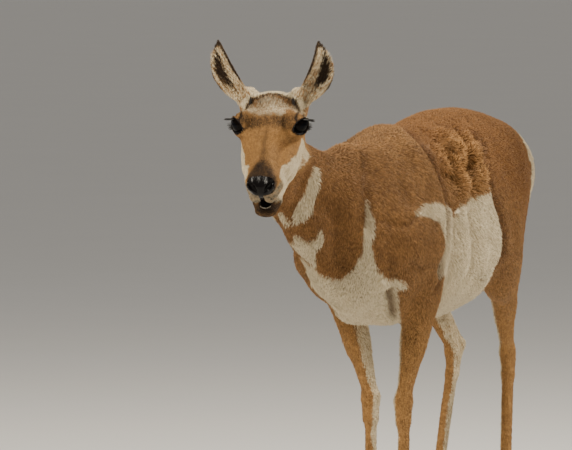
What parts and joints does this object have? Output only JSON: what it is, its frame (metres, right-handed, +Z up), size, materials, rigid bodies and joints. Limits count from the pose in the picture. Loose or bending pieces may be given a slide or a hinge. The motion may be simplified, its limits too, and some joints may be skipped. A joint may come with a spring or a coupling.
{
  "type": "pronghorn",
  "caption": "Life-size female pronghorn standing still on slim legs, head raised and turned to look ahead, ears up, short horns, cloven hooves and a short hanging tail.",
  "frame": {"origin": "on the floor under the middle of the animal's bounding box", "axes": "+Z up, +X to the animal's left, -Y the way it faces"},
  "size_m": [0.3454, 1.089, 1.0266],
  "materials": {
    "coat": "short matt fur, rust brown with white patches",
    "ear": "short fur, pale inside with a dark rim",
    "horn": "dark horn",
    "hoof": "dark horn, lightly worn",
    "eye": "wet gloss",
    "teeth": "smooth enamel"
  },
  "bodies": {
    "root": {"trunk": "coat", "neck": "coat", "head": "coat", "tail": "coat", "leg_fore_left": "coat", "leg_fore_right": "coat", "leg_hind_left": "coat", "leg_hind_right": "coat", "ear_left": "ear", "ear_right": "ear", "horn_left": "horn", "horn_right": "horn", "eye_left": "eye", "eye_right": "eye", "teeth_lower": "teeth", "hoof_fore_left_outer": "hoof", "hoof_fore_left_inner": "hoof", "hoof_fore_right_outer": "hoof", "hoof_fore_right_inner": "hoof", "hoof_hind_left_outer": "hoof", "hoof_hind_left_inner": "hoof", "hoof_hind_right_outer": "hoof", "hoof_hind_right_inner": "hoof"}
  },
  "joints": []
}
